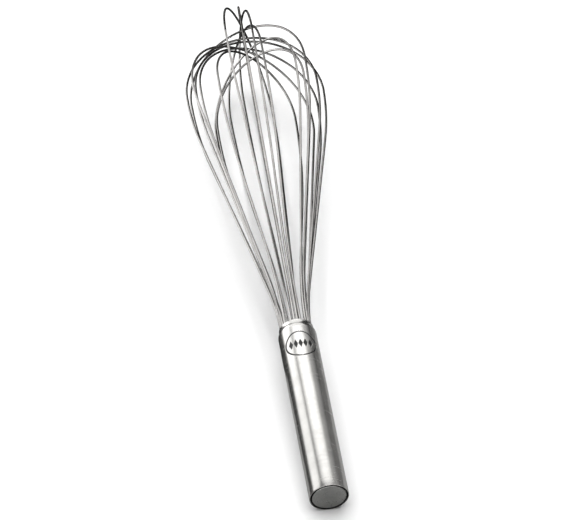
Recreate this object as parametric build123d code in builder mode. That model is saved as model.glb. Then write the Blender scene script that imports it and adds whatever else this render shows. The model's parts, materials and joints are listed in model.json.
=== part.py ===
from build123d import *
from math import atan, cos, degrees, radians, sin
import os

# A balloon whisk lying on its side: a closed steel tube for a handle and a cage of crossing wire loops.
# +Z is up and +Y runs from the butt towards the crown of the cage. The origin is on the surface that the
# whisk lies on, under the middle of its box. Millimetres and degrees.

# Where the handle lies: the middle of the butt, and the slope at which the butt's lower edge and the lowest
# wires touch the surface together.
BUTT = (-4.49, -190.98, 11.022)
REST_SLOPE = 5.31

# Handle tube, rolled in at the wire end
HANDLE_LENGTH = 122.5
HANDLE_RADIUS = 11.1
TUBE_WALL = 0.6
RIM_ROUND = 0.35
MOUTH_RADIUS = 10.0
SHOULDER_LENGTH = 5.5
MOUTH_LAND = 0.5
LIP_ROUND = 0.1

# End cap: a pressed cup, its face flush with the rim. The tube's wall is thinned to the rim's round there, so
# that a narrow groove runs between the two.
GROOVE_WIDTH = 1.15
GROOVE_DEPTH = 1.5
CAP_SHEET = 0.8
CAP_LENGTH = 6.0
CAP_ROUND = 0.25
PRESS_GAP = 0.02

# Wires, and what holds their ends in the handle
WIRE_RADIUS = 0.7
RING_RADIUS = 8.6
LEG_DEPTH = 20.0
PLUG_RECESS = 1.0
PLUG_MOUTH_RADIUS = 7.7
PLUG_INNER_RADIUS = 6.6
SEAL_RECESS = 8.0
SEAL_LENGTH = 15.0

# Shape of every loop. The cage as a whole leans a little to the right of the handle.
CAGE_LEAN = 0.8
FLANK_ANGLE = 11.2
NECK_SHARE = 0.45
CROWN_RATIO = 1.08
CROWN_HALF_ANGLE = 62.0

# Each loop: its turn about the whisk's axis from lying flat, half its width, its reach from the mouth, and
# its own lean within its plane. No two reach equally far, so the wires pass clear of each other at the crown.
LOOPS = [
    (-42.5, 32.5, 228.5, 0.8),
    (-30.5, 43.0, 232.5, -0.4),
    (-19, 38.5, 234.8, 1.1),
    (-7, 40.0, 241.0, 1.3),
    (4.5, 40.5, 243.5, -0.1),
    (26, 39.5, 251.0, -0.6),
    (38, 34.0, 222.8, 1.2),
    (50, 38.5, 230.7, 0.3),
    (73, 34.0, 250.2, -2.3),
    (84.5, 31.0, 257.0, -0.4),
    (96, 36.0, 261.0, -1.0),
    (110, 43.1, 255.0, 0.1),
]

# Plain oval cartouche engraved on top of the handle, with a row of lozenges across it
MARK_FROM_MOUTH = 19.2
MARK_TURN = -1.0
MARK_DEPTH = 0.2
MARK_HALF_LENGTH = 9.2
MARK_HALF_WIDTH = 8.8
MARK_LINE = 0.7
LOZENGE_COUNT = 5
LOZENGE_PITCH = 2.8
LOZENGE_LENGTH = 6.0
LOZENGE_WIDTH = 2.4


def up_the_slope(distance):
    """The point on the handle's axis at a distance from the middle of the butt."""
    x, y, z = BUTT
    return (x, y + distance * cos(radians(REST_SLOPE)), z + distance * sin(radians(REST_SLOPE)))


# In these planes x runs along the whisk from butt to crown, y points to the left and z up.
AXIS_DIRECTION = (0, cos(radians(REST_SLOPE)), sin(radians(REST_SLOPE)))
UPWARD = (0, -sin(radians(REST_SLOPE)), cos(radians(REST_SLOPE)))
handle_plane = Plane(origin=up_the_slope(0), x_dir=AXIS_DIRECTION, z_dir=UPWARD)
mouth_plane = Plane(origin=up_the_slope(HANDLE_LENGTH), x_dir=AXIS_DIRECTION, z_dir=UPWARD)
butt_plane = Plane(origin=up_the_slope(0), x_dir=(1, 0, 0), z_dir=AXIS_DIRECTION)
cage_plane = Plane(mouth_plane * Rotation(0, 0, -CAGE_LEAN))
mark_plane = Plane(mouth_plane * Rotation(MARK_TURN, 0, 0)).offset(HANDLE_RADIUS)
handle_axis = Axis(up_the_slope(0), AXIS_DIRECTION)

bore_radius = HANDLE_RADIUS - TUBE_WALL
rim_radius = HANDLE_RADIUS - RIM_ROUND
shoulder_turn = 2 * degrees(atan((HANDLE_RADIUS - MOUTH_RADIUS) / SHOULDER_LENGTH))
shoulder_radius = SHOULDER_LENGTH / 2 / sin(radians(shoulder_turn))
shoulder_end = HANDLE_LENGTH - MOUTH_LAND
shoulder_start = shoulder_end - SHOULDER_LENGTH


def rolled_shoulder(line):
    """Two tangent arcs that step a line sideways and leave it running as before."""
    first = JernArc(line @ 1, line % 1, shoulder_radius, -shoulder_turn)
    return JernArc(first @ 1, first % 1, shoulder_radius, shoulder_turn)


with BuildPart() as mark_cutter:
    with BuildSketch(mark_plane):
        with Locations((-MARK_FROM_MOUTH, 0)):
            Ellipse(MARK_HALF_LENGTH, MARK_HALF_WIDTH)
            Ellipse(MARK_HALF_LENGTH - MARK_LINE, MARK_HALF_WIDTH - MARK_LINE, mode=Mode.SUBTRACT)
            with GridLocations(1, LOZENGE_PITCH, 1, LOZENGE_COUNT):
                Polygon(
                    (LOZENGE_LENGTH / 2, 0),
                    (0, LOZENGE_WIDTH / 2),
                    (-LOZENGE_LENGTH / 2, 0),
                    (0, -LOZENGE_WIDTH / 2),
                )
    extrude(amount=-HANDLE_RADIUS)
    with BuildSketch(butt_plane):
        Circle(HANDLE_RADIUS - MARK_DEPTH)
    extrude(amount=HANDLE_LENGTH, mode=Mode.SUBTRACT)

with BuildPart() as handle_tube:
    with BuildSketch(handle_plane):
        with BuildLine():
            rim = JernArc((0, rim_radius), (0, 1), RIM_ROUND, -90)
            outside = Line(rim @ 1, (shoulder_start, HANDLE_RADIUS))
            neck = rolled_shoulder(outside)
            land = Line(neck @ 1, (HANDLE_LENGTH - LIP_ROUND, MOUTH_RADIUS))
            outer_lip = JernArc(land @ 1, land % 1, LIP_ROUND, -90)
            end_face = Line(outer_lip @ 1, (HANDLE_LENGTH, MOUTH_RADIUS - TUBE_WALL + LIP_ROUND))
            inner_lip = JernArc(end_face @ 1, end_face % 1, LIP_ROUND, -90)
            throat = Line(inner_lip @ 1, (shoulder_end, MOUTH_RADIUS - TUBE_WALL))
            flare = rolled_shoulder(throat)
            Polyline(flare @ 1, (GROOVE_DEPTH, bore_radius), (GROOVE_DEPTH, rim_radius), rim @ 0)
        make_face()
    revolve(axis=handle_axis)
    add(mark_cutter.part, mode=Mode.SUBTRACT)
handle_tube.part.label = "handle_tube"

with BuildPart() as end_cap:
    boss_radius = rim_radius - GROOVE_WIDTH
    skirt_radius = bore_radius - PRESS_GAP
    with BuildSketch(handle_plane):
        with BuildLine():
            face = Line((0, 0), (0, boss_radius - CAP_ROUND))
            corner = JernArc(face @ 1, face % 1, CAP_ROUND, -90)
            Polyline(
                corner @ 1,
                (GROOVE_DEPTH, boss_radius),
                (GROOVE_DEPTH, skirt_radius),
                (CAP_LENGTH, skirt_radius),
                (CAP_LENGTH, skirt_radius - CAP_SHEET),
                (GROOVE_DEPTH + CAP_SHEET, skirt_radius - CAP_SHEET),
                (GROOVE_DEPTH + CAP_SHEET, boss_radius - CAP_SHEET),
                (CAP_SHEET, boss_radius - CAP_SHEET),
                (CAP_SHEET, 0),
                (0, 0),
            )
        make_face()
    revolve(axis=handle_axis)
end_cap.part.label = "end_cap"

with BuildPart() as core_plug:
    with BuildSketch(handle_plane):
        with BuildLine():
            Polyline(
                (HANDLE_LENGTH - LEG_DEPTH, 0),
                (HANDLE_LENGTH - LEG_DEPTH, PLUG_INNER_RADIUS),
                (HANDLE_LENGTH - PLUG_RECESS, PLUG_MOUTH_RADIUS),
                (HANDLE_LENGTH - PLUG_RECESS, 0),
                close=True,
            )
        make_face()
    revolve(axis=handle_axis)
core_plug.part.label = "core_plug"


def loop_centre_line(half_width, reach):
    """Draw one loop: leg, neck, flank, belly, shoulder, crown, and the same again on the way back."""
    lean_in = radians(FLANK_ANGLE)
    spread = half_width - RING_RADIUS
    crown_length = CROWN_RATIO * half_width
    rise = reach - crown_length
    bends = (rise * sin(lean_in) - spread * cos(lean_in)) / (1 - cos(lean_in))
    straight = (spread * sin(lean_in) - rise * (1 - cos(lean_in))) / (1 - cos(lean_in))
    half = radians(CROWN_HALF_ANGLE)
    share = 1 - sin(half) - cos(half)
    shoulder = (half_width * (1 - cos(half)) - crown_length * sin(half)) / share
    crown = (crown_length * (1 - sin(half)) - half_width * cos(half)) / share
    neck_bend = (NECK_SHARE * bends, FLANK_ANGLE)
    belly_bend = ((1 - NECK_SHARE) * bends, -FLANK_ANGLE)
    shoulder_bend = (shoulder, CROWN_HALF_ANGLE - 90)
    crown_bend = (crown, -2 * CROWN_HALF_ANGLE)
    edge = Line((-LEG_DEPTH, RING_RADIUS), (0, RING_RADIUS))
    edge = JernArc(edge @ 1, edge % 1, *neck_bend)
    edge = Line(edge @ 1, edge @ 1 + edge % 1 * straight)
    for bend in (belly_bend, shoulder_bend, crown_bend, shoulder_bend, belly_bend):
        edge = JernArc(edge @ 1, edge % 1, *bend)
    edge = Line(edge @ 1, edge @ 1 + edge % 1 * straight)
    edge = JernArc(edge @ 1, edge % 1, *neck_bend)
    Line(edge @ 1, edge @ 1 + edge % 1 * LEG_DEPTH)


def build_loop(turn, half_width, reach, lean):
    """One wire loop, swept from inside the handle over the crown and back in."""
    loop_plane = Plane(cage_plane * Rotation(180 - turn, 0, 0) * Rotation(0, 0, lean))
    with BuildPart() as wire_loop:
        with BuildLine(loop_plane) as path:
            loop_centre_line(half_width, reach)
        with BuildSketch(Plane(origin=path.line @ 0, z_dir=path.line % 0)):
            Circle(WIRE_RADIUS)
        sweep(path=path.line)
    return wire_loop.part


wire_loops = [build_loop(*loop) for loop in LOOPS]
for number, wire_loop in enumerate(wire_loops, start=1):
    wire_loop.label = f"wire_loop_{number:02d}"

with BuildPart() as resin_seal:
    with BuildSketch(butt_plane.offset(HANDLE_LENGTH - SEAL_RECESS)):
        Circle(bore_radius - PRESS_GAP)
    extrude(amount=-SEAL_LENGTH)
    add([core_plug.part, *wire_loops], mode=Mode.SUBTRACT)
resin_seal.part.label = "resin_seal"

os.makedirs("parts", exist_ok=True)
for piece in [handle_tube.part, end_cap.part, core_plug.part, resin_seal.part, *wire_loops]:
    export_step(piece, f"parts/{piece.label}.step")
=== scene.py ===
import json
from math import atan, cos, degrees, radians, sin
import bpy
from mathutils import Matrix, Vector


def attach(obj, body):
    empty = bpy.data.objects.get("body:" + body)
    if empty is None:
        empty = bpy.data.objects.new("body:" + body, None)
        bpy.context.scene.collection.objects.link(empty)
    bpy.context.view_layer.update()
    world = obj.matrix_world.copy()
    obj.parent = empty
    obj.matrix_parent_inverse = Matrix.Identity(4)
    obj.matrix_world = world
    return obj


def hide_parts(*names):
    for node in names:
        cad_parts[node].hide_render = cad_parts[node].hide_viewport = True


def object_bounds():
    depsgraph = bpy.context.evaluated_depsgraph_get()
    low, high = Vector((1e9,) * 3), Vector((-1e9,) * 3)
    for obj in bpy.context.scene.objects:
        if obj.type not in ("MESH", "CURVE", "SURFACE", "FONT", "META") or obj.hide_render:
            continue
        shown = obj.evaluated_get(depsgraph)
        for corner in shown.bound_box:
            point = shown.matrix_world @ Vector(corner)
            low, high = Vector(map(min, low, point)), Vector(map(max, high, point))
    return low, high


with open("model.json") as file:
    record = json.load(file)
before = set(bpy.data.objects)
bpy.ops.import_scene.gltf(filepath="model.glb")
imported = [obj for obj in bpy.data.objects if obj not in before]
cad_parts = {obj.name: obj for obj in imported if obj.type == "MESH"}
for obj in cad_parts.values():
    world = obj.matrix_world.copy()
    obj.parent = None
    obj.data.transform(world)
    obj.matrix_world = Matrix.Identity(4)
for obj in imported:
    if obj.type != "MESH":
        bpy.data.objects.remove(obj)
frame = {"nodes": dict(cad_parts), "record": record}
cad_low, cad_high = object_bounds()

# A balloon whisk lying on a pale floor. Metres, in the CAD's frame: +Z up, and +Y from the butt towards the
# crown of the cage.

# Camera: its direction from the whisk and its tilt in degrees, and a long lens in millimetres, so that the
# whisk is hardly foreshortened
CAMERA_AZIMUTH = -7.75
CAMERA_ELEVATION = 42.74
CAMERA_ROLL = -1.07
CAMERA_DISTANCE = 1.8188
CAMERA_AIM = (0.0012, -0.0134, 0.0258)
CAMERA_LENS = 190.9
CAMERA_NEAR = 0.05

# Floor of pale paper. It turns as bright as the backdrop between two distances from the whisk, so that no
# horizon shows in low views, and it is darker in reflections.
FLOOR_HALF = 2.5
FADE_START = 0.5
FADE_END = 1.6
BACKDROP = (0.95, 0.95, 0.95)
PAPER_DARK = (0.89, 0.89, 0.89)
PAPER_LIGHT = (0.92, 0.92, 0.92)
PAPER_ROUGHNESS = 0.8
PAPER_SHINE = 0.2
FLOOR_IN_METAL = (0.3, 0.3, 0.3)

# Handle tube, as in the CAD
HANDLE_LENGTH = 0.1225
HANDLE_RADIUS = 0.0111
TUBE_WALL = 0.0006
RIM_ROUND = 0.00035
GROOVE_DEPTH = 0.0015
MOUTH_RADIUS = 0.01
SHOULDER_LENGTH = 0.0055
MOUTH_LAND = 0.0005
LIP_ROUND = 0.0001

# Its engraved mark, an oval line round a row of lozenges. The lines' walls slope over the blur's width.
MARK_FROM_MOUTH = 0.0192
MARK_TURN = -1.0
MARK_DEPTH = 0.0002
MARK_BLUR = 0.00012
MARK_HALF_LENGTH = 0.0092
MARK_HALF_WIDTH = 0.0088
MARK_LINE = 0.0007
LOZENGE_COUNT = 5
LOZENGE_PITCH = 0.0028
LOZENGE_LENGTH = 0.006
LOZENGE_WIDTH = 0.0024

# How finely the tube is divided along its section: steps in each stretch, the length of a cell at the mark
# with some cells to spare, and one ring of points in the bore
RIM_STEPS = 8
BODY_STEPS = 24
SHOULDER_STEPS = 12
LIP_STEPS = 6
MARK_CELL = 0.00013
SPARE_CELLS = 8
BORE_RING = 0.05
# How finely it is divided round its axis: fine steps in degrees on both sides of the mark's middle, and a
# number of coarse steps for the rest
FINE_HALF_TURN = 56.0
FINE_STEP = 0.6
COARSE_COUNT = 96
# Edges that turn by more degrees than this stay sharp
SHARP_ANGLE = 40
# A face is etched where the shares of the mark's depth at its four corners add up to more than this
ETCHED_SUM = 2.4
# The section ends with the floor and the outer wall of the groove round the cap, which take the dark etched
# steel too, as painted shade in the groove
GROOVE_STRETCHES = 2

# Steels: darker and lighter colour, lowest and highest roughness, how fine the brush lines are along x, y
# and z, and how deep they are
STEELS = {
    "handle_steel": ((0.62, 0.61, 0.59), (0.72, 0.71, 0.69), 0.16, 0.28, (60, 2600, 60), 0.00001),
    "cap_steel": ((0.38, 0.38, 0.37), (0.53, 0.53, 0.51), 0.25, 0.4, (900, 60, 900), 0.00001),
    "wire_steel": ((0.4, 0.39, 0.38), (0.5, 0.49, 0.48), 0.03, 0.08, (700, 700, 700), 0.000002),
    # The etched steel darkens the mark's real etched lines, and is also painted shade on the groove round
    # the cap
    "etched_and_groove_shade_steel": ((0.05, 0.05, 0.05), (0.1, 0.1, 0.1), 0.45, 0.6, (400, 400, 400), 0.00001),
}
# What fills the mouth: darker and lighter colour, roughness, how fine the grain is
FILLERS = {
    "core_plug": ((0.02, 0.02, 0.022), (0.05, 0.05, 0.055), 0.6, 900.0),
    "resin_seal": ((0.1, 0.09, 0.08), (0.18, 0.16, 0.14), 0.5, 700.0),
}
FILLER_GRAIN_DEPTH = 0.0002
FILLER_ROUGHNESS_SPREAD = 0.1
# Painted shade in the groove round the cap: a near-black colour, from none to full between two depths below
# the butt's face
GROOVE_PAINTED_SHADE = (0.01, 0.01, 0.01)
GROOVE_SHADE_START = 0.0001
GROOVE_SHADE_END = 0.0003

# One wide lamp overhead, which the metal doesn't show
OVERHEAD_PLACE = (-0.02, 0.3, 1.5)
OVERHEAD_TARGET = (0, 0, 0.02)
OVERHEAD_SIZE = 2.2
OVERHEAD_POWER = 46.5

# Soft patches of light in dim surroundings: direction, half width and half height in degrees, softness of
# the edge, strength
WORLD_DIM = 0.01
WORLD_PATCHES = [
    ((0.4, 0.6, 0.6), 24, 24, 0.6, 0.42),
    ((-0.706, 0.628, 0.308), 22, 22, 0.3, 1.35),
    ((-0.1, 0.95, 0.25), 34, 19, 0.4, 0.12),
    ((0.9, -0.4, 0.3), 23, 23, 0.5, 0.62),
    ((-0.9, -0.4, 0.3), 23, 23, 0.5, 0.62),
]

# Glowing ovals, seen only in reflections and only from the side they face: place, the point that they face,
# half width, half height, strength
GLOWS = {
    "top_glow": ((0.0, 0.34, 0.62), (0.0, -0.13, 0.02), 0.35, 0.17, 1.9),
    "shoulder_glow": ((0.0, 0.1, 0.14), (0.0, -0.07, 0.03), 0.15, 0.07, 1.25),
    "handle_glow": ((-0.0045, -0.13, 0.35), (-0.0045, -0.129, 0.0), 0.14, 0.1, 1.0),
    "back_glow": ((0.0, -0.75, 0.55), (0.0, -0.1, 0.02), 0.3, 0.2, 0.7),
    "cage_glow": ((-0.13, 0.13, 0.07), (0.0, 0.13, 0.04), 0.13, 0.07, 2.3),
    "rim_glow": ((0.0, -0.5, 0.08), (0.0, -0.19, 0.02), 0.3, 0.06, 3.5),
}
GLOW_SOFTNESS = 0.4

# Cards seen only in reflections, where they draw dark bands on the steel
CARD_ROUGHNESS = 0.9
CARD_SHADE = 0.02
CARD_LIFT = 0.0005
# Standing along the handle: how far to the right of its middle, lower edge, upper edge, shade
HANDLE_FLAGS = {
    "left_flag": (-0.03, 0.0005, 0.015, 0.06),
    "right_flag": (0.04, 0.011, 0.036, 0.25),
}
# They reach this share of the handle's length each way from its middle
HANDLE_FLAG_REACH = 0.75
# Lying on both sides of the neck up to these edges, from a little behind the mouth
NECK_CARD_OVERLAP = 0.01
LEFT_NECK_EDGE = -0.012
RIGHT_NECK_EDGE = 0.055
# Lying under the cage, from a gap in front of the mouth
CAGE_CARD_GAP = 0.08
CAGE_CARD_LENGTH = 0.7
# Standing to the right of the cage, to a little past the crown
CAGE_FLAG_X = 0.07
CAGE_FLAG_HEIGHT = 0.09
CAGE_FLAG_OVERLAP = 0.02
# Lying over the crown
CROWN_CARD_X = (-0.08, 0.1)
CROWN_CARD_Y = (0.158, 0.32)
CROWN_CARD_Z = 0.13

mounts = {mount["name"]: mount for mount in frame["record"]["mounts"]}
BUTT = Vector(mounts["butt_face"]["pos_m"])
ALONG = -Vector(mounts["butt_face"]["axis"]).normalized()
RIGHT = Vector((1, 0, 0))
UPWARD = RIGHT.cross(ALONG)
LOOPS = sorted(name for name in frame["nodes"] if name.startswith("wire_loop_"))


def noise(tree, scale, stretch, detail):
    """Noise in the CAD's frame; a stretch above 1 makes it finer along that axis."""
    place = tree.nodes.new("ShaderNodeTexCoord")
    mapping = tree.nodes.new("ShaderNodeMapping")
    mapping.inputs["Scale"].default_value = stretch
    texture = tree.nodes.new("ShaderNodeTexNoise")
    texture.inputs["Scale"].default_value = scale
    texture.inputs["Detail"].default_value = detail
    tree.links.new(place.outputs["Object"], mapping.inputs["Vector"])
    tree.links.new(mapping.outputs["Vector"], texture.inputs["Vector"])
    return texture.outputs["Fac"]


def spread(tree, value, low, high, start=0.3, end=0.7):
    """Map a value from start..end, which is most of a noise's range if not given, to low..high."""
    node = tree.nodes.new("ShaderNodeMapRange")
    node.inputs["From Min"].default_value = start
    node.inputs["From Max"].default_value = end
    node.inputs["To Min"].default_value = low
    node.inputs["To Max"].default_value = high
    tree.links.new(value, node.inputs["Value"])
    return node.outputs["Result"]


def soft_edge(tree, reach, softness, strength):
    """The strength well inside an outline, where the reach is under 1, and nothing well outside it."""
    node = tree.nodes.new("ShaderNodeMapRange")
    node.interpolation_type = "SMOOTHSTEP"
    node.inputs["From Min"].default_value = 1 + softness
    node.inputs["From Max"].default_value = 1 - softness
    node.inputs["To Max"].default_value = strength
    tree.links.new(reach, node.inputs["Value"])
    return node.outputs["Result"]


def maths(tree, operation, first, second):
    """One maths node fed by a socket and either another socket or a number."""
    node = tree.nodes.new("ShaderNodeMath")
    node.operation = operation
    tree.links.new(first, node.inputs[0])
    if isinstance(second, float):
        node.inputs[1].default_value = second
    else:
        tree.links.new(second, node.inputs[1])
    return node.outputs["Value"]


def measure(tree, coordinates, direction):
    """How far a point, or in the world the direction looked in, lies along a given direction."""
    place = tree.nodes.new("ShaderNodeTexCoord")
    dot = tree.nodes.new("ShaderNodeVectorMath")
    dot.operation = "DOT_PRODUCT"
    dot.inputs[1].default_value = direction
    tree.links.new(place.outputs[coordinates], dot.inputs[0])
    return dot.outputs["Value"]


def distance_out(tree, half_width, half_height):
    """Distance from the middle of a plate, counted in half widths across it and in half heights up it."""
    place = tree.nodes.new("ShaderNodeTexCoord")
    mapping = tree.nodes.new("ShaderNodeMapping")
    mapping.inputs["Scale"].default_value = (1 / half_width, 1 / half_height, 1)
    reach = tree.nodes.new("ShaderNodeVectorMath")
    reach.operation = "LENGTH"
    tree.links.new(place.outputs["Object"], mapping.inputs["Vector"])
    tree.links.new(mapping.outputs["Vector"], reach.inputs["Vector"])
    return reach.outputs["Value"]


def mix_colours(tree, factor, first, second):
    """The first colour where the factor is 0 and the second where it is 1; each is plain or a socket."""
    node = tree.nodes.new("ShaderNodeMix")
    node.data_type = "RGBA"
    for colour, name in ((first, "A"), (second, "B")):
        if isinstance(colour, tuple):
            node.inputs[name].default_value = (*colour, 1)
        else:
            tree.links.new(colour, node.inputs[name])
    tree.links.new(factor, node.inputs["Factor"])
    return node.outputs["Result"]


def mix_shaders(tree, factor, first, second):
    """The first shader where the factor is 0 and the second where it is 1."""
    node = tree.nodes.new("ShaderNodeMixShader")
    tree.links.new(factor, node.inputs["Fac"])
    tree.links.new(first, node.inputs[1])
    tree.links.new(second, node.inputs[2])
    return node.outputs["Shader"]


def add_bump(tree, shader, height, distance):
    """Raise and sink the surface with a socket's value."""
    node = tree.nodes.new("ShaderNodeBump")
    node.inputs["Distance"].default_value = distance
    node.inputs["Strength"].default_value = 1.0
    tree.links.new(height, node.inputs["Height"])
    tree.links.new(node.outputs["Normal"], shader.inputs["Normal"])


def new_material(name, colour, metallic, roughness):
    """A plain Principled material, with its node tree and shader for adding detail to it."""
    material = bpy.data.materials.new(name)
    material.use_nodes = True
    shader = material.node_tree.nodes["Principled BSDF"]
    shader.inputs["Base Color"].default_value = (*colour, 1)
    shader.inputs["Metallic"].default_value = metallic
    shader.inputs["Roughness"].default_value = roughness
    return material, material.node_tree, shader


def brushed_steel(name, dark, light, smooth, rough, stretch, line_depth):
    """Steel with fine brush lines, faint cloudiness and uneven gloss."""
    material, tree, shader = new_material(name, light, 1.0, rough)
    lines = noise(tree, scale=1.0, stretch=stretch, detail=6.0)
    clouds = noise(tree, scale=90.0, stretch=(1, 1, 1), detail=5.0)
    colour = mix_colours(tree, spread(tree, clouds, 0, 1), dark, light)
    tree.links.new(colour, shader.inputs["Base Color"])
    tree.links.new(spread(tree, lines, smooth, rough), shader.inputs["Roughness"])
    add_bump(tree, shader, lines, line_depth)
    return material


def add_painted_groove_shade(material):
    """Paint shade into a material's colour, darker with the depth below the butt's face, so that the groove
    round the cap looks black.
    """
    tree = material.node_tree
    base_colour = tree.nodes["Principled BSDF"].inputs["Base Color"]
    face = BUTT.dot(ALONG)
    depth = measure(tree, "Object", ALONG)
    unshaded = spread(tree, depth, 1.0, 0.0, face + GROOVE_SHADE_START, face + GROOVE_SHADE_END)
    colour = mix_colours(tree, unshaded, GROOVE_PAINTED_SHADE, base_colour.links[0].from_socket)
    tree.links.new(colour, base_colour)


def plain_filler(name, dark, light, roughness, grain):
    """A dull dark plastic or resin with a grainy surface."""
    material, tree, shader = new_material(name, light, 0.0, roughness)
    speckle = noise(tree, scale=grain, stretch=(1, 1, 1), detail=5.0)
    colour = mix_colours(tree, spread(tree, speckle, 0, 1), dark, light)
    low = roughness - FILLER_ROUGHNESS_SPREAD
    high = roughness + FILLER_ROUGHNESS_SPREAD
    tree.links.new(colour, shader.inputs["Base Color"])
    tree.links.new(spread(tree, speckle, low, high), shader.inputs["Roughness"])
    add_bump(tree, shader, speckle, FILLER_GRAIN_DEPTH)
    return material


def dress(node, material):
    """Give a CAD node its material in every slot."""
    mesh = frame["nodes"][node].data
    if not mesh.materials:
        mesh.materials.append(material)
    for index in range(len(mesh.materials)):
        mesh.materials[index] = material


def arc(centre, radius, start, end, count):
    """Points (distance from the butt, radius) on an arc; its angles are in degrees from the whisk's axis."""
    turns = [radians(start + (end - start) * step / count) for step in range(count + 1)]
    return [(centre[0] + radius * cos(turn), centre[1] + radius * sin(turn)) for turn in turns]


def shoulder_curve(offset):
    """The rolled shoulder as two tangent arcs from the tube to the mouth, moved inwards by an offset."""
    half_turn = atan((HANDLE_RADIUS - MOUTH_RADIUS) / SHOULDER_LENGTH)
    radius = SHOULDER_LENGTH / 2 / sin(2 * half_turn)
    turn = degrees(2 * half_turn)
    end = HANDLE_LENGTH - MOUTH_LAND
    start = end - SHOULDER_LENGTH
    first = arc((start, HANDLE_RADIUS - offset - radius), radius, 90, 90 - turn, SHOULDER_STEPS)
    second = arc((end, MOUTH_RADIUS - offset + radius), radius, 270 - turn, 270, SHOULDER_STEPS)
    return first + second[1:]


def handle_profile():
    """The tube's section from the rim, along the outside, round the lip and back along the bore."""
    bore = HANDLE_RADIUS - TUBE_WALL
    rim = HANDLE_RADIUS - RIM_ROUND
    lip = HANDLE_LENGTH - LIP_ROUND
    outer_lip = MOUTH_RADIUS - LIP_ROUND
    inner_lip = MOUTH_RADIUS - TUBE_WALL + LIP_ROUND
    cells = round(2 * MARK_HALF_LENGTH / MARK_CELL) + SPARE_CELLS
    mark_start = HANDLE_LENGTH - MARK_FROM_MOUTH - MARK_CELL * cells / 2
    profile = arc((RIM_ROUND, rim), RIM_ROUND, 180, 90, RIM_STEPS)
    profile += [(mark_start * step / BODY_STEPS, HANDLE_RADIUS) for step in range(1, BODY_STEPS)]
    profile += [(mark_start + MARK_CELL * step, HANDLE_RADIUS) for step in range(cells + 1)]
    profile += shoulder_curve(0)
    profile += arc((lip, outer_lip), LIP_ROUND, 90, 0, LIP_STEPS)
    profile += arc((lip, inner_lip), LIP_ROUND, 0, -90, LIP_STEPS)
    profile += shoulder_curve(TUBE_WALL)[::-1]
    profile += [(BORE_RING, bore), (GROOVE_DEPTH, bore), (GROOVE_DEPTH, rim)]
    return profile


def handle_turns():
    """Angles round the tube from its top towards the right: fine steps at the mark, then coarse ones."""
    fine_count = round(2 * FINE_HALF_TURN / FINE_STEP)
    fine_start = MARK_TURN - FINE_HALF_TURN
    coarse_start = MARK_TURN + FINE_HALF_TURN
    coarse_turn = 360 - 2 * FINE_HALF_TURN
    fine = [fine_start + FINE_STEP * step for step in range(fine_count)]
    coarse = [coarse_start + coarse_turn * step / COARSE_COUNT for step in range(COARSE_COUNT)]
    return [radians(turn) for turn in fine + coarse]


def inside(distance):
    """1 inside an outline, where the distance is negative, 0 outside it, and a smooth slope between."""
    share = min(max(0.5 - distance / MARK_BLUR, 0.0), 1.0)
    return share * share * (3 - 2 * share)


def ellipse_distance(x, y, half_length, half_width):
    """About how far a point lies outside an ellipse."""
    reach = ((x / half_length) ** 2 + (y / half_width) ** 2) ** 0.5
    return (reach - 1) * (half_length + half_width) / 2


def mark_share(along, turn):
    """How far the surface is cut away at a point of the tube: 0 outside the mark's lines, 1 in them."""
    from_mark = turn - radians(MARK_TURN)
    if cos(from_mark) < 0:
        return 0.0
    x = along - (HANDLE_LENGTH - MARK_FROM_MOUTH)
    y = HANDLE_RADIUS * sin(from_mark)
    outer = ellipse_distance(x, y, MARK_HALF_LENGTH, MARK_HALF_WIDTH)
    inner = ellipse_distance(x, y, MARK_HALF_LENGTH - MARK_LINE, MARK_HALF_WIDTH - MARK_LINE)
    ring = min(inside(outer), 1 - inside(inner))
    last = LOZENGE_COUNT // 2
    number = max(-last, min(last, round(y / LOZENGE_PITCH)))
    across = abs(y - number * LOZENGE_PITCH) / (LOZENGE_WIDTH / 2)
    lozenge = (abs(x) / (LOZENGE_LENGTH / 2) + across - 1) * LOZENGE_WIDTH / 2
    return max(ring, inside(lozenge))


def new_object(name, data):
    """Put a mesh, a camera or a lamp into the scene."""
    thing = bpy.data.objects.new(name, data)
    bpy.context.scene.collection.objects.link(thing)
    return thing


def build_handle(steel, etched_and_groove_shade):
    """The tube as a finely divided turned shape with the mark sunk into it."""
    profile = handle_profile()
    turns = handle_turns()
    shares = []
    points = []
    for along, radius in profile:
        for turn in turns:
            share = mark_share(along, turn) if radius == HANDLE_RADIUS else 0.0
            outward = RIGHT * sin(turn) + UPWARD * cos(turn)
            shares.append(share)
            points.append(BUTT + ALONG * along + outward * (radius - MARK_DEPTH * share))
    count = len(turns)
    rings = len(profile)
    faces = []
    for ring in range(rings):
        here = ring * count
        there = (ring + 1) % rings * count
        for column in range(count):
            beside = (column + 1) % count
            faces.append((here + column, here + beside, there + beside, there + column))
    mesh = bpy.data.meshes.new("handle_tube_fine")
    mesh.from_pydata(points, [], faces)
    mesh.materials.append(steel)
    mesh.materials.append(etched_and_groove_shade)
    for face in mesh.polygons:
        # The groove's faces take the dark etched steel as painted shade
        in_groove = face.index >= (rings - GROOVE_STRETCHES) * count
        in_mark = sum(shares[corner] for corner in face.vertices) > ETCHED_SUM
        face.use_smooth = True
        face.material_index = int(in_groove or in_mark)
    mesh.set_sharp_from_angle(angle=radians(SHARP_ANGLE))
    piece = new_object("handle_tube_fine", mesh)
    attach(piece, "root")
    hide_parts("handle_tube")


def new_plate(name, corners, material):
    """A flat four-cornered piece of the set."""
    mesh = bpy.data.meshes.new(name)
    mesh.from_pydata(corners, [], [(0, 1, 2, 3)])
    mesh.materials.append(material)
    plate = new_object(name, mesh)
    return plate


def show_only_in_reflections(plate):
    """Hide a plate from the camera and from dull surfaces."""
    plate.visible_camera = False
    plate.visible_diffuse = False
    plate.visible_shadow = False


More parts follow.
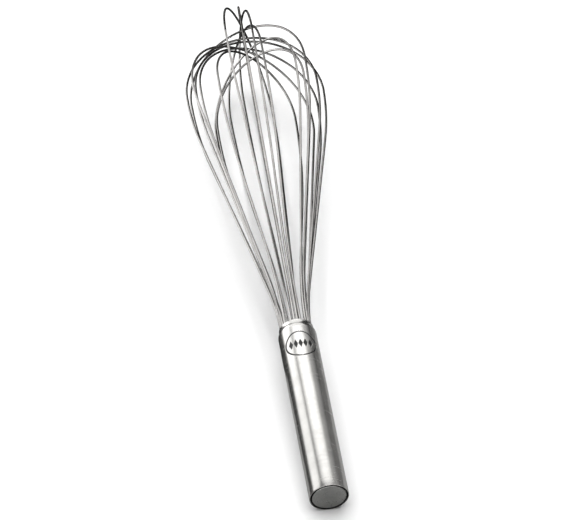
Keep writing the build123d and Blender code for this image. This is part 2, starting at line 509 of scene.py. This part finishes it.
def build_card(name, corners, shade):
    """A dark card seen only in reflections."""
    material = new_material(name, (shade, shade, shade), 0.0, CARD_ROUGHNESS)[0]
    show_only_in_reflections(new_plate(name, corners, material))


def build_standing_card(name, x, start, end, low, high, shade):
    """A card that stands along the whisk at one distance to its side."""
    build_card(name, [(x, start, low), (x, end, low), (x, end, high), (x, start, high)], shade)


def build_lying_card(name, left, right, start, end, z):
    """A level card."""
    corners = [(left, start, z), (right, start, z), (right, end, z), (left, end, z)]
    build_card(name, corners, CARD_SHADE)


def build_handle_flags():
    """Cards standing along both sides of the handle."""
    middle = BUTT + ALONG * HANDLE_LENGTH * 0.5
    reach = HANDLE_LENGTH * HANDLE_FLAG_REACH
    for name, (aside, low, high, shade) in HANDLE_FLAGS.items():
        build_standing_card(name, middle.x + aside, middle.y - reach, middle.y + reach, low, high, shade)


def build_cage_cards():
    """Cards lying beside the neck, under the cage and over the crown, and one on the cage's right."""
    mouth = (BUTT + ALONG * HANDLE_LENGTH).y
    back = mouth - NECK_CARD_OVERLAP
    start = mouth + CAGE_CARD_GAP
    end = start + CAGE_CARD_LENGTH
    half = CAGE_CARD_LENGTH / 2
    flag_end = cad_high[1] + CAGE_FLAG_OVERLAP
    build_lying_card("left_neck_card", -half, LEFT_NECK_EDGE, back, start, CARD_LIFT)
    build_lying_card("right_neck_card", RIGHT_NECK_EDGE, half, back, start, CARD_LIFT)
    build_lying_card("cage_card", -half, half, start, end, CARD_LIFT)
    build_standing_card("cage_flag", CAGE_FLAG_X, start, flag_end, 0, CAGE_FLAG_HEIGHT, CARD_SHADE)
    build_lying_card("crown_card", *CROWN_CARD_X, *CROWN_CARD_Y, CROWN_CARD_Z)


def glow_material(name, half_width, half_height, strength):
    """A soft-edged oval of light on a clear plate, lit on its underside only."""
    material = bpy.data.materials.new(name)
    material.use_nodes = True
    tree = material.node_tree
    tree.nodes.remove(tree.nodes["Principled BSDF"])
    oval = soft_edge(tree, distance_out(tree, half_width, half_height), GLOW_SOFTNESS, 1.0)
    side = tree.nodes.new("ShaderNodeNewGeometry")
    lit = maths(tree, "MULTIPLY", oval, side.outputs["Backfacing"])
    clear = tree.nodes.new("ShaderNodeBsdfTransparent")
    glow = tree.nodes.new("ShaderNodeEmission")
    glow.inputs["Strength"].default_value = strength
    surface = mix_shaders(tree, lit, clear.outputs["BSDF"], glow.outputs["Emission"])
    tree.links.new(surface, tree.nodes["Material Output"].inputs["Surface"])
    return material


def build_glow(name, place, target, half_width, half_height, strength):
    """A glowing oval, seen only in reflections, with its lit side towards the target."""
    width = half_width * (1 + GLOW_SOFTNESS)
    height = half_height * (1 + GLOW_SOFTNESS)
    corners = [(-width, -height, 0), (width, -height, 0), (width, height, 0), (-width, height, 0)]
    plate = new_plate(name, corners, glow_material(name, half_width, half_height, strength))
    aim(plate, place, target)
    show_only_in_reflections(plate)


def floor_material():
    """Pale paper with a faint grain, darker in reflections and fading to the backdrop far from the whisk."""
    material, tree, shader = new_material("floor_paper", PAPER_LIGHT, 0.0, PAPER_ROUGHNESS)
    shader.inputs["Specular IOR Level"].default_value = PAPER_SHINE
    rays = tree.nodes.new("ShaderNodeLightPath")
    grain = noise(tree, scale=400.0, stretch=(1, 1, 1), detail=4.0)
    paper = mix_colours(tree, grain, PAPER_DARK, PAPER_LIGHT)
    colour = mix_colours(tree, rays.outputs["Is Glossy Ray"], paper, FLOOR_IN_METAL)
    tree.links.new(colour, shader.inputs["Base Color"])
    far = spread(tree, distance_out(tree, 1, 1), 0.0, 1.0, FADE_START, FADE_END)
    faded = maths(tree, "MULTIPLY", far, rays.outputs["Is Camera Ray"])
    glow = tree.nodes.new("ShaderNodeEmission")
    glow.inputs["Color"].default_value = (*BACKDROP, 1)
    surface = mix_shaders(tree, faded, shader.outputs["BSDF"], glow.outputs["Emission"])
    tree.links.new(surface, tree.nodes["Material Output"].inputs["Surface"])
    return material


def build_floor():
    """The square of paper that the whisk lies on."""
    corners = [(-FLOOR_HALF, -FLOOR_HALF, 0), (FLOOR_HALF, -FLOOR_HALF, 0)]
    corners += [(FLOOR_HALF, FLOOR_HALF, 0), (-FLOOR_HALF, FLOOR_HALF, 0)]
    new_plate("floor", corners, floor_material())


def aim(thing, place, target, roll=0.0):
    """Put a camera, a lamp or a plate somewhere and turn its underside towards a point."""
    look = (Vector(target) - Vector(place)).to_track_quat("-Z", "Y").to_matrix()
    thing.location = place
    thing.rotation_euler = (look @ Matrix.Rotation(roll, 3, "Z")).to_euler()


def build_camera():
    """The camera, looking down along the whisk from the butt's end."""
    camera = new_object("camera", bpy.data.cameras.new("camera"))
    camera.data.lens = CAMERA_LENS
    camera.data.clip_start = CAMERA_NEAR
    turn = radians(CAMERA_AZIMUTH)
    tilt = radians(CAMERA_ELEVATION)
    back = Vector((sin(turn) * cos(tilt), -cos(turn) * cos(tilt), sin(tilt)))
    aim(camera, Vector(CAMERA_AIM) + back * CAMERA_DISTANCE, CAMERA_AIM, radians(CAMERA_ROLL))
    bpy.context.scene.camera = camera


def build_overhead():
    """The square lamp over the whisk."""
    light = bpy.data.lights.new("overhead", "AREA")
    light.shape = "SQUARE"
    light.size = OVERHEAD_SIZE
    light.energy = OVERHEAD_POWER
    lamp = new_object("overhead", light)
    lamp.visible_glossy = False
    aim(lamp, OVERHEAD_PLACE, OVERHEAD_TARGET)


def world_patch(tree, direction, width, height, softness, strength):
    """A soft oval patch of light in one direction of the surroundings; its half sizes are in degrees."""
    forward = Vector(direction).normalized()
    right = forward.cross(Vector((0, 0, 1))).normalized()
    across = measure(tree, "Generated", right / sin(radians(width)))
    upward = measure(tree, "Generated", right.cross(forward) / sin(radians(height)))
    across = maths(tree, "MULTIPLY", across, across)
    upward = maths(tree, "MULTIPLY", upward, upward)
    reach = maths(tree, "POWER", maths(tree, "ADD", across, upward), 0.5)
    ahead = maths(tree, "GREATER_THAN", measure(tree, "Generated", forward), 0.0)
    return maths(tree, "MULTIPLY", soft_edge(tree, reach, softness, strength), ahead)


def build_world():
    """Dim surroundings with soft patches of light; straight ahead the camera sees a pale backdrop."""
    world = bpy.data.worlds.new("studio")
    bpy.context.scene.world = world
    world.use_nodes = True
    tree = world.node_tree
    total = world_patch(tree, *WORLD_PATCHES[0])
    for patch in WORLD_PATCHES[1:]:
        total = maths(tree, "ADD", total, world_patch(tree, *patch))
    surroundings = tree.nodes["Background"]
    surroundings.inputs["Color"].default_value = (1, 1, 1, 1)
    tree.links.new(maths(tree, "ADD", total, WORLD_DIM), surroundings.inputs["Strength"])
    backdrop = tree.nodes.new("ShaderNodeBackground")
    backdrop.inputs["Color"].default_value = (*BACKDROP, 1)
    seen = tree.nodes.new("ShaderNodeLightPath").outputs["Is Camera Ray"]
    surface = mix_shaders(tree, seen, surroundings.outputs["Background"], backdrop.outputs["Background"])
    tree.links.new(surface, tree.nodes["World Output"].inputs["Surface"])


build_camera()
build_floor()
build_world()
build_overhead()
build_handle_flags()
build_cage_cards()
for glow_name, glow_values in GLOWS.items():
    build_glow(glow_name, *glow_values)

steels = {name: brushed_steel(name, *values) for name, values in STEELS.items()}
# The cap's steel gets painted shade, near black, in the groove round the cap
add_painted_groove_shade(steels["cap_steel"])
build_handle(steels["handle_steel"], steels["etched_and_groove_shade_steel"])
dress("end_cap", steels["cap_steel"])
for loop in LOOPS:
    dress(loop, steels["wire_steel"])
for filler, filler_values in FILLERS.items():
    dress(filler, plain_filler(filler, *filler_values))

# Colours are shown as they are, without a film's contrast
bpy.context.scene.view_settings.view_transform = "Standard"
